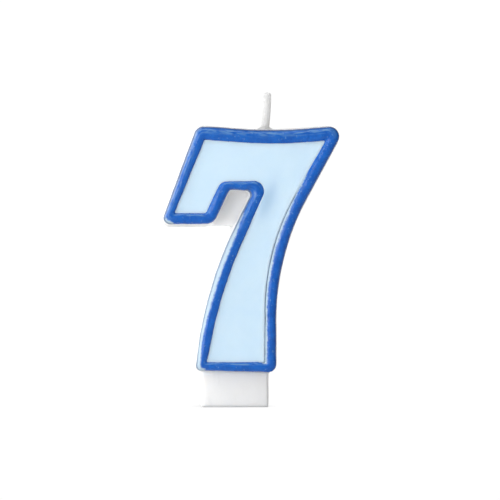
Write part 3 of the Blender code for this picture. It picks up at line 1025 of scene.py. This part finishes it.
PLAIT_STRANDS = 3
PLAIT_PITCH = 3.2 * MM
PLAIT_WIDTH = 0.36 * MM
PLAIT_THICKNESS = 0.20 * MM
PLAIT_TIGHTER = 0.85
STRAND_RADIUS = 0.23 * MM
STRAND_SIDES = 20
STRAND_LEVELS = 420
THREADS = 5
THREAD_PITCH = 1.4 * MM
THREAD_CORE = 0.72
THREAD_LOBE = 0.18


def wick_middle(height):
    """Middle of the wick: straight in the bore, then leaning to the right."""
    above = max(0.0, height - WICK_EXIT_Z) / (WICK_TIP_Z - WICK_EXIT_Z)
    return np.array((WICK_X + WICK_LEAN * above * (2.0 - above), WICK_Y, height))


def strand_offset(height, number, shrink=1.0):
    """Place of one strand of the plait beside the wick's middle."""
    turn = math.tau * (height / PLAIT_PITCH + number / PLAIT_STRANDS)
    sideways = PLAIT_WIDTH * shrink * math.sin(turn)
    forwards = PLAIT_THICKNESS * shrink * math.sin(2.0 * turn)
    return np.array((sideways, forwards, 0.0))


def plait_reach(height, angle):
    """How far the plait reaches from its middle in one direction."""
    ray = np.array((math.cos(angle), math.sin(angle)))
    reach = 0.0
    for number in range(PLAIT_STRANDS):
        centre = strand_offset(height, number)[:2]
        along = centre @ ray
        aside = abs(centre[0] * ray[1] - centre[1] * ray[0])
        if aside < STRAND_RADIUS:
            reach = max(reach, along + math.sqrt(STRAND_RADIUS**2 - aside**2))
    return reach


def capped_tube(rings, around):
    """Faces of a closed tube through rings of the given number of vertices."""
    faces = []
    for index in range(rings - 1):
        faces.extend(quads_between(index * around, (index + 1) * around, around))
    last = (rings - 1) * around
    faces.append(tuple(range(around)))
    faces.append(tuple(range(last, last + around)))
    return faces


def build_wick_coating(material):
    """Wax coat: it fills the gaps of the plait and ends in a rounded tip."""
    shoulder = WICK_TIP_Z - WICK_DOME
    heights = list(np.linspace(COAT_LOW[2], WICK_COARSE_TOP, WICK_COARSE_COUNT))
    heights += list(np.arange(WICK_FINE_FROM, shoulder, WICK_FINE_STEP))
    levels = [(height, 1.0) for height in heights]
    for step in range(WICK_DOME_STEPS + 1):
        angle = WICK_DOME_ANGLE * step / WICK_DOME_STEPS
        levels.append((shoulder + WICK_DOME * math.sin(angle), math.cos(angle)))
    vertices = []
    for height, shrink in levels:
        for spoke in range(WICK_SIDES):
            angle = math.tau * spoke / WICK_SIDES
            relief = plait_reach(min(height, shoulder), angle) - RELIEF_MIDDLE
            radius = (WICK_RADIUS + RELIEF_LIFT + relief * RELIEF_SHARE) * shrink
            direction = np.array((math.cos(angle), math.sin(angle), 0.0))
            vertices.append(wick_middle(height) + direction * radius)
    faces = capped_tube(len(levels), WICK_SIDES)
    obj = new_object("wick_coat_wax", vertices, faces, "wick_wax", "wick_coating")
    push(obj, waves(read_points(obj), *WICK_WAVES))
    obj.data.materials.append(material)
    return obj


def build_strand(number, material):
    """One strand of the plait: a yarn of twisted threads."""
    low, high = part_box(f"wick_strand_{number + 1}")
    vertices = []
    for height in np.linspace(low[2], high[2], STRAND_LEVELS):
        centre = wick_middle(height) + strand_offset(height, number, PLAIT_TIGHTER)
        twist = math.tau * height / THREAD_PITCH
        for spoke in range(STRAND_SIDES):
            angle = math.tau * spoke / STRAND_SIDES
            lobe = abs(math.cos(THREADS * (angle + twist) / 2.0))
            radius = STRAND_RADIUS * (THREAD_CORE + THREAD_LOBE * lobe)
            vertices.append(centre + radius * np.array((math.cos(angle), math.sin(angle), 0.0)))
    faces = capped_tube(STRAND_LEVELS, STRAND_SIDES)
    name = f"wick_yarn_{number + 1}"
    obj = new_object(name, vertices, faces, "cotton", f"wick_strand_{number + 1}")
    obj.data.materials.append(material)
    return obj


SEAL_SIDES = 56
SEAL_RINGS = 14
SEAL_RADIUS = (SEAL_HIGH[0] - SEAL_LOW[0]) / 2.0
SEAL_HEIGHT = SEAL_HIGH[2] - SEAL_LOW[2]
SEAL_MOUND = 0.55 * MM
SEAL_SLOPE = (SEAL_HEIGHT - SEAL_MOUND) / (2.0 * SEAL_RADIUS)
SEAL_WOBBLE = 0.09
SEAL_WOBBLE_SIZE = 1.3
SEAL_WOBBLE_PLACE = Vector((4.0, 1.0, 2.0))
SEAL_RISE = 0.8
SEAL_CLIMB = 0.95
SEAL_HOLLOW = 2.2
SEAL_BELLY = 0.12
SEAL_SINK = 0.03 * MM
SEAL_THICKNESS = 0.15 * MM


def seal_swell(share):
    """Height of the drop from its inner to its outer edge, high and hollow by the wick."""
    climb = SEAL_CLIMB * (1.0 - share) ** SEAL_HOLLOW
    return climb + SEAL_BELLY * math.sqrt(max(0.0, 1.0 - share**4))


def build_seal(material):
    """Drop of wax that has run round the wick and set."""
    vertices = []
    for ring in range(SEAL_RINGS):
        share = ring / (SEAL_RINGS - 1)
        lift = SEAL_HEIGHT * SEAL_RISE * seal_swell(share) - SEAL_SINK
        for spoke in range(SEAL_SIDES):
            angle = math.tau * spoke / SEAL_SIDES
            direction = Vector((math.cos(angle), math.sin(angle), 0.0))
            wobble = noise.noise(direction * SEAL_WOBBLE_SIZE + SEAL_WOBBLE_PLACE)
            reach = SEAL_RADIUS * (1.0 + SEAL_WOBBLE * wobble) - WICK_RADIUS
            place = direction * (WICK_RADIUS + reach * share)
            base = SEAL_LOW[2] + SEAL_SLOPE * (place.y + SEAL_RADIUS)
            vertices.append((WICK_X + place.x, WICK_Y + place.y, base + lift))
    for ring in (SEAL_RINGS - 1, 0):
        for spoke in range(SEAL_SIDES):
            x, y, _ = vertices[ring * SEAL_SIDES + spoke]
            base = SEAL_LOW[2] + SEAL_SLOPE * (y - WICK_Y + SEAL_RADIUS)
            vertices.append((x, y, base - SEAL_THICKNESS))
    faces = []
    for index in range(SEAL_RINGS + 2):
        after = (index + 1) % (SEAL_RINGS + 2)
        faces.extend(quads_between(index * SEAL_SIDES, after * SEAL_SIDES, SEAL_SIDES))
    obj = new_object("wick_seal_wax", vertices, faces, "wick_wax", "wick_seal")
    obj.data.materials.append(material)
    return obj


# ---------------------------------------------------------------- studio

FLOOR_HALF_SIZE = 3.0
FLOOR_GREY = (0.90, 0.90, 0.90, 1.0)
FLOOR_SHADE_REACH = 5.0 * MM


def floor_material():
    """Plain pale floor, white to the camera, with a faint shade where the candle stands."""
    material = bpy.data.materials.new("studio_floor")
    material.use_nodes = True
    tree = material.node_tree
    tree.nodes.clear()
    near = {"Distance": FLOOR_SHADE_REACH}
    shade = add_node(tree, "ShaderNodeAmbientOcclusion", near, samples=8)
    level = spread(tree, shade.outputs["AO"], 0.3, 0.9, to_low=0.86, to_high=1.02)
    glow = add_node(tree, "ShaderNodeEmission", {"Strength": level})
    matt = add_node(tree, "ShaderNodeBsdfDiffuse", {"Color": FLOOR_GREY})
    seen = add_node(tree, "ShaderNodeLightPath").outputs["Is Camera Ray"]
    both = add_node(tree, "ShaderNodeMixShader", {"Fac": seen})
    tree.links.new(matt.outputs["BSDF"], both.inputs[1])
    tree.links.new(glow.outputs["Emission"], both.inputs[2])
    output = add_node(tree, "ShaderNodeOutputMaterial")
    tree.links.new(both.outputs["Shader"], output.inputs["Surface"])
    return material


def build_stage():
    """Floor plane."""
    mesh = bpy.data.meshes.new("studio_floor")
    size = FLOOR_HALF_SIZE
    corners = [(-size, -size, 0.0), (size, -size, 0.0), (size, size, 0.0), (-size, size, 0.0)]
    mesh.from_pydata(corners, [], [(0, 1, 2, 3)])
    floor = bpy.data.objects.new("studio_floor", mesh)
    bpy.context.scene.collection.objects.link(floor)
    mesh.materials.append(floor_material())


# Brightness of the room that the wax reflects, on each side of the candle
ROOM_LEFT = 0.75
ROOM_RIGHT = 0.06
ROOM_BEHIND = 0.9
ROOM_FRONT = 0.32
BACKDROP = 1.05


def build_world():
    """White backdrop for the camera, in a room that is pale all round but dark on the right."""
    world = bpy.data.worlds.new("studio")
    bpy.context.scene.world = world
    world.use_nodes = True
    tree = world.node_tree
    tree.nodes.clear()
    direction = add_node(tree, "ShaderNodeTexCoord").outputs["Generated"]
    parts = add_node(tree, "ShaderNodeSeparateXYZ", {"Vector": direction})
    room = spread(tree, parts.outputs["X"], -1.0, 0.4, ROOM_LEFT, ROOM_RIGHT)
    behind = spread(tree, parts.outputs["Y"], 0.6, 0.9, to_high=ROOM_BEHIND)
    front = spread(tree, parts.outputs["Y"], -0.3, -0.7, to_high=ROOM_FRONT)
    for part in (behind, front):
        room = add_node(tree, "ShaderNodeMath", {0: room, 1: part}, operation="ADD").outputs[0]
    seen = add_node(tree, "ShaderNodeLightPath").outputs["Is Camera Ray"]
    level = add_node(tree, "ShaderNodeMix", {"Factor": seen, "A": room, "B": BACKDROP})
    white = {"Color": (1.0, 1.0, 1.0, 1.0), "Strength": level.outputs["Result"]}
    background = add_node(tree, "ShaderNodeBackground", white)
    output = add_node(tree, "ShaderNodeOutputWorld")
    tree.links.new(background.outputs["Background"], output.inputs["Surface"])


def add_softbox(name, place, target, width, height, radiance):
    """Rectangular light that faces a point; radiance is its brightness."""
    light = bpy.data.lights.new(name, "AREA")
    light.shape = "RECTANGLE"
    light.size = width
    light.size_y = height
    light.energy = radiance * math.pi * width * height
    obj = bpy.data.objects.new(name, light)
    bpy.context.scene.collection.objects.link(obj)
    obj.location = place
    aim = Vector(target) - Vector(place)
    obj.rotation_euler = aim.to_track_quat("-Z", "Y").to_euler()
    return obj


def build_lights():
    """Bright softbox close on the left, a broad fill in front of it, a strip high in front."""
    low = (0.0, 0.0, 0.04)
    middle = (0.0, 0.0, 0.06)
    add_softbox("key_left", (-0.33, 0.0, 0.12), middle, width=0.34, height=0.24, radiance=2.4)
    add_softbox("fill_left", (-0.39, -0.50, 0.13), low, width=0.45, height=0.26, radiance=4.4)
    add_softbox("strip_high", (-0.10, -0.24, 0.62), low, width=0.60, height=0.20, radiance=3.6)


CAMERA_AIM = Vector((3.75 * MM, CREST_Y, 39.4 * MM))
CAMERA_DISTANCE = 0.70
CAMERA_AZIMUTH = math.radians(-2.6)
CAMERA_VIEW_WIDTH = 0.125
SENSOR_WIDTH = 36.0


def build_camera():
    """Long lens, level with the middle of the numeral, slightly to its left."""
    scene = bpy.context.scene
    camera = bpy.data.cameras.new("camera")
    camera.sensor_width = SENSOR_WIDTH
    camera.lens = SENSOR_WIDTH * CAMERA_DISTANCE / CAMERA_VIEW_WIDTH
    camera.clip_start = 0.01
    camera.clip_end = 20.0
    obj = bpy.data.objects.new("camera", camera)
    scene.collection.objects.link(obj)
    back = Vector((math.sin(CAMERA_AZIMUTH), -math.cos(CAMERA_AZIMUTH), 0.0))
    obj.location = CAMERA_AIM + back * CAMERA_DISTANCE
    obj.rotation_euler = (-back).to_track_quat("-Z", "Y").to_euler()
    scene.camera = obj
    scene.view_settings.view_transform = "Standard"
    scene.view_settings.look = "None"


def main():
    """Build the candle, then the studio around it."""
    build_body(white_wax_material())
    build_panel(pale_wax_material())
    build_bead(blue_wax_material())
    build_wick_coating(wick_wax_material("wick_wax", WICK_TRANSLUCENCE))
    cotton = cotton_material()
    for number in range(PLAIT_STRANDS):
        build_strand(number, cotton)
    build_seal(wick_wax_material("seal_wax", SEAL_TRANSLUCENCE))
    build_stage()
    build_world()
    build_lights()
    build_camera()



main()
